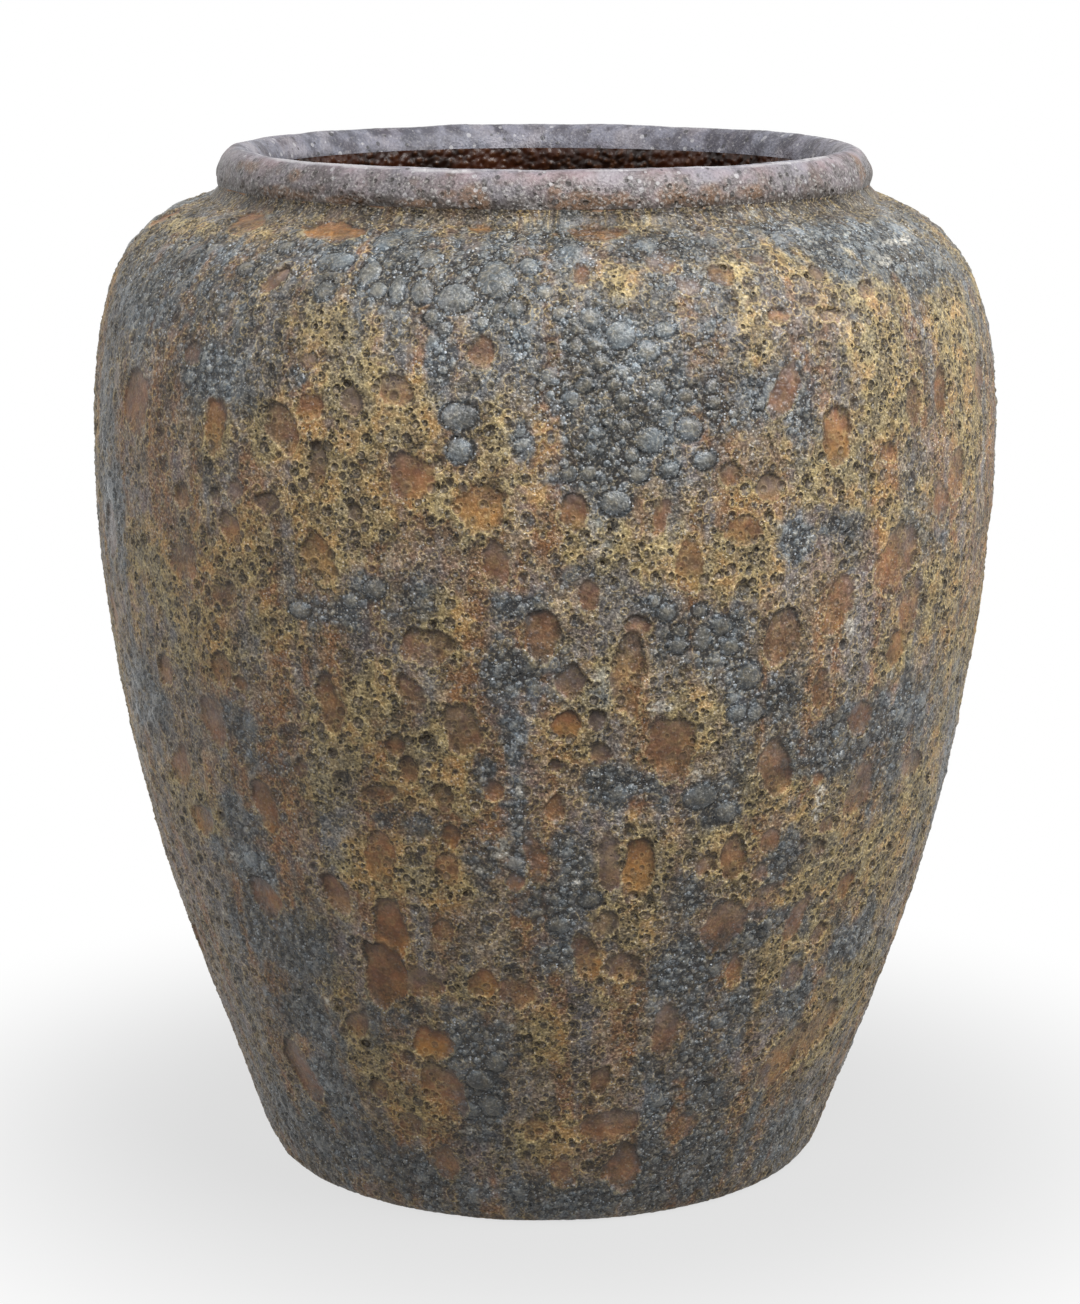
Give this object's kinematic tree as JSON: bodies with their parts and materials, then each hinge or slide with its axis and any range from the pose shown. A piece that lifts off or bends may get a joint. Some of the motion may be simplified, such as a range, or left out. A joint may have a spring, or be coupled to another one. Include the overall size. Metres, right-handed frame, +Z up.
{
  "type": "jar planter",
  "caption": "Round-shouldered stoneware jar planter with a tapering foot, rolled rim, open mouth and drain hole, under a thick cratered lava glaze.",
  "frame": {"origin": "on the ground, on the jar's upright axis", "axes": "+Z up along the jar's axis, from the foot to the rim; -Y is the side that the picture shows"},
  "size_m": [0.7103, 0.7105, 0.81],
  "materials": {
    "stoneware": "bare fired stoneware",
    "lava_glaze": "foamed and cratered, satin",
    "rim_glaze": "dry satin",
    "liner_glaze": "glossy"
  },
  "bodies": {
    "root": {"floor_slab": "stoneware", "cove_coil": "stoneware", "foot_course": "stoneware", "lower_course": "stoneware", "belly_course": "stoneware", "shoulder_course": "stoneware", "neck_ring": "stoneware", "rim_roll": "stoneware", "body_glaze": "lava_glaze", "rim_glaze": "rim_glaze", "liner_glaze": "liner_glaze"}
  },
  "joints": []
}
